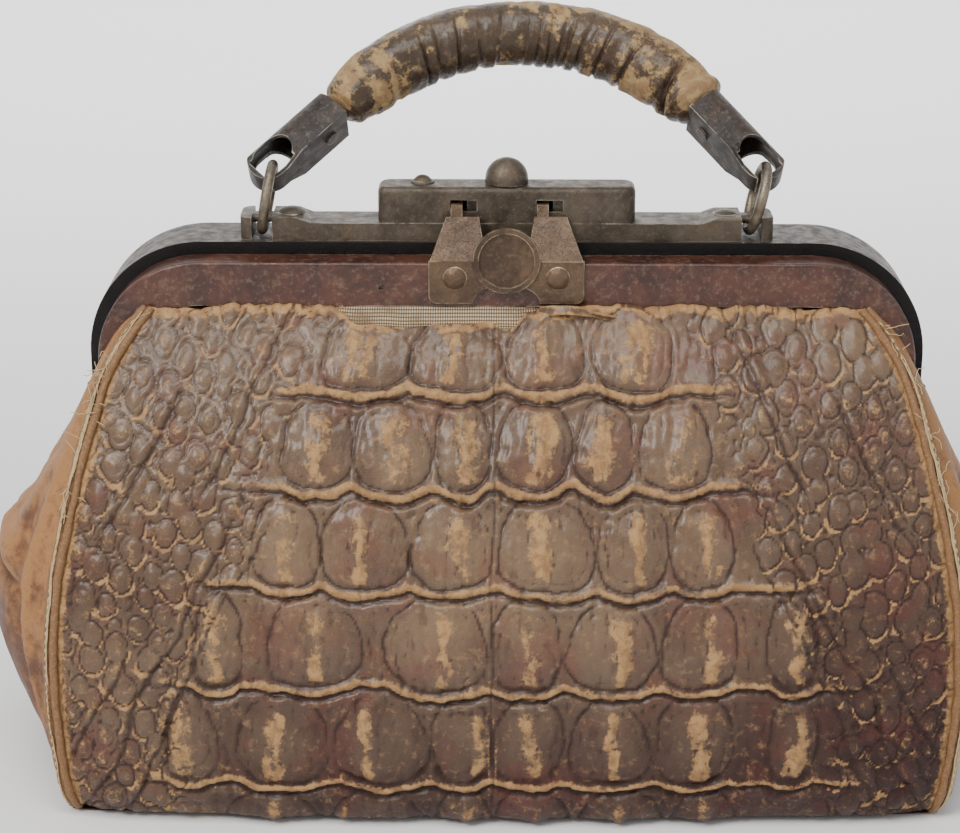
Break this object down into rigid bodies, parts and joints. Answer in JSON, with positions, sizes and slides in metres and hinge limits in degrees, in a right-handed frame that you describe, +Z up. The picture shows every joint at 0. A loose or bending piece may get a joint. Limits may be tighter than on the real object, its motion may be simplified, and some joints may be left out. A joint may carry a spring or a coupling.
{
  "type": "doctor bag",
  "caption": "Leather doctor bag with a two-part hinged steel frame that opens like a jaw, a lock case with sliding bolt and hasp, and a leather grip on two rings.",
  "frame": {"origin": "middle of the base, on the ground", "axes": "+X across the width to the right as seen from the front, -Y towards the front, +Z up"},
  "size_m": [0.3768, 0.15, 0.2773],
  "materials": {
    "frame_steel": "worn",
    "bar_steel": "worn",
    "wire_steel": "worn",
    "grip_hide": "worn",
    "croc_hide": "worn",
    "gusset_hide": "worn",
    "canvas": "matte",
    "board": "matte"
  },
  "bodies": {
    "bag_body": {"base_leather": "croc_hide", "base_board": "board", "front_panel": "croc_hide", "rear_panel": "croc_hide", "gusset_left": "gusset_hide", "gusset_right": "gusset_hide", "lining": "canvas", "welt_front_left": "gusset_hide", "welt_front_right": "gusset_hide", "welt_rear_left": "gusset_hide", "welt_rear_right": "gusset_hide", "hinge_pin_left": "bar_steel", "hinge_pin_right": "bar_steel", "hinge_washer_left": "bar_steel", "hinge_washer_right": "bar_steel"},
    "front_frame": {"front_frame": "frame_steel", "hasp_plate": "frame_steel", "hasp_rivets": "frame_steel", "clamp_strip_front": "bar_steel", "webbing_front": "canvas", "front_panel_top": "croc_hide"},
    "rear_frame": {"rear_frame": "frame_steel", "top_bar": "bar_steel", "bar_rivets": "bar_steel", "lock_case": "bar_steel", "lock_base_plate": "bar_steel", "bolt_spring": "bar_steel", "lock_screw": "bar_steel", "lock_washer": "bar_steel", "clamp_strip_rear": "bar_steel", "webbing_rear": "canvas", "rear_panel_top": "croc_hide"},
    "lock_bolt": {"lock_bolt": "bar_steel", "lock_knob": "bar_steel"},
    "ring_left": {"ring_left": "wire_steel"},
    "ring_right": {"ring_right": "wire_steel"},
    "grip": {"grip_core": "board", "grip_leather": "grip_hide", "ferrule_left": "wire_steel", "ferrule_right": "wire_steel", "ferrule_rivet_left": "wire_steel", "ferrule_rivet_right": "wire_steel"}
  },
  "joints": [
    {"name": "front_frame_opening", "type": "hinge", "parent": "bag_body", "child": "front_frame", "pos_m": [0, -0.0062, 0.14], "axis": [1, 0, 0], "range_deg": [0, 48]},
    {"name": "rear_frame_opening", "type": "hinge", "parent": "bag_body", "child": "rear_frame", "pos_m": [0, -0.0062, 0.14], "axis": [-1, 0, 0], "range_deg": [0, 48]},
    {"name": "bolt_slide", "type": "slide", "parent": "rear_frame", "child": "lock_bolt", "axis": [-1, 0, 0], "range_m": [0, 0.003]},
    {"name": "left_ring_rock", "type": "hinge", "parent": "rear_frame", "child": "ring_left", "pos_m": [-0.0885, 0.0045, 0.2067], "axis": [-1, 0, 0], "range_deg": [-8, 8]},
    {"name": "right_ring_rock", "type": "hinge", "parent": "rear_frame", "child": "ring_right", "pos_m": [0.0885, 0.0045, 0.2067], "axis": [-1, 0, 0], "range_deg": [-8, 8]},
    {"name": "grip_swing", "type": "hinge", "parent": "ring_left", "child": "grip", "pos_m": [0, 0.0045, 0.214], "axis": [-1, 0, 0], "range_deg": [-112, 34]}
  ],
  "couplings": [
    {"joint": "right_ring_rock", "follows": "left_ring_rock", "ratio": 1}
  ]
}
